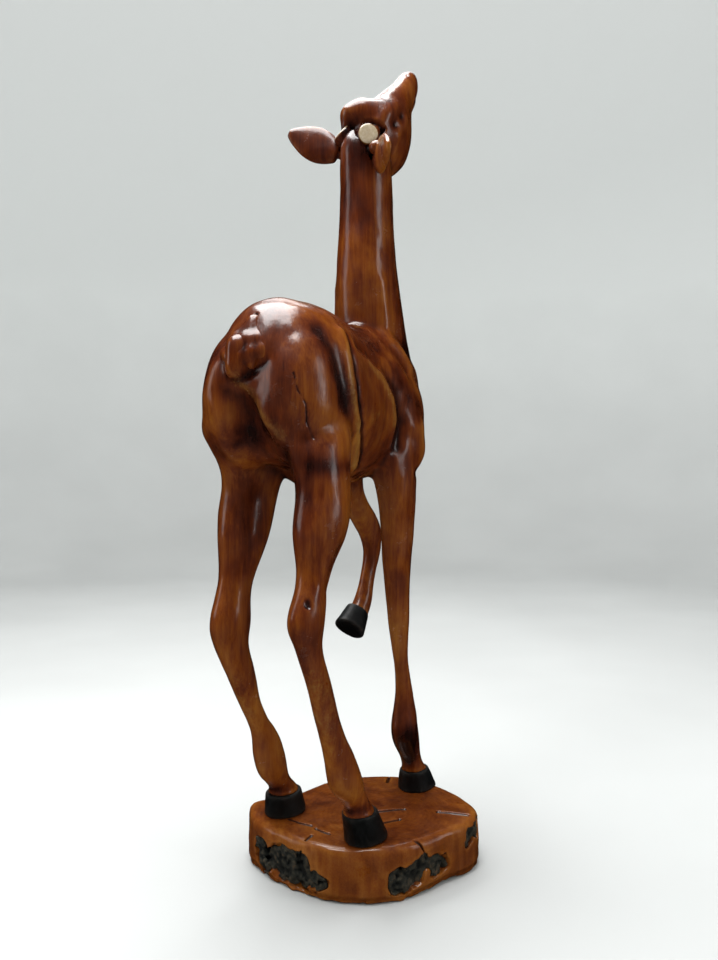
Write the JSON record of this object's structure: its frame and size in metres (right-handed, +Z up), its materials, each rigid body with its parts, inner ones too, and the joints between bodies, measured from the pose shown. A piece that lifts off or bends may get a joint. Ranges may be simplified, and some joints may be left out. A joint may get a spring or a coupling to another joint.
{
  "type": "carved giraffe statue",
  "caption": "Carved wooden giraffe looking up with one foreleg raised, stained and lacquered, on a slice-of-log plinth with ingrown bark.",
  "frame": {"origin": "middle of the plinth's flat underside", "axes": "+Z up, along the statue's height; the giraffe faces -Y and its left side is +X"},
  "size_m": [0.1477, 0.2098, 0.5941],
  "materials": {
    "stained_wood": "red-brown stained hardwood under worn gloss lacquer",
    "plinth_wood": "lacquered log slice with drying checks",
    "bark": "rough dark ingrown bark",
    "hoof_black": "dull black paint on wood",
    "peg_wood": "plain turned hardwood"
  },
  "bodies": {
    "root": {"torso": "stained_wood", "neck": "stained_wood", "head": "stained_wood", "leg_front_left": "stained_wood", "leg_front_right": "stained_wood", "leg_hind_left": "stained_wood", "leg_hind_right": "stained_wood", "ear_left": "stained_wood", "ear_right": "stained_wood", "ossicone_left": "stained_wood", "ossicone_right": "stained_wood", "tail": "stained_wood", "base_block": "plinth_wood", "bark_rear": "bark", "bark_right": "bark", "bark_right_front": "bark", "hoof_front_left": "hoof_black", "hoof_front_right": "hoof_black", "hoof_hind_left": "hoof_black", "hoof_hind_right": "hoof_black", "peg_front_right": "peg_wood", "peg_hind_left": "peg_wood", "peg_hind_right": "peg_wood", "dowel_neck": "peg_wood", "dowel_head": "peg_wood", "dowel_front_left": "peg_wood", "dowel_front_right": "peg_wood", "dowel_hind_left": "peg_wood", "dowel_hind_right": "peg_wood"}
  },
  "joints": []
}
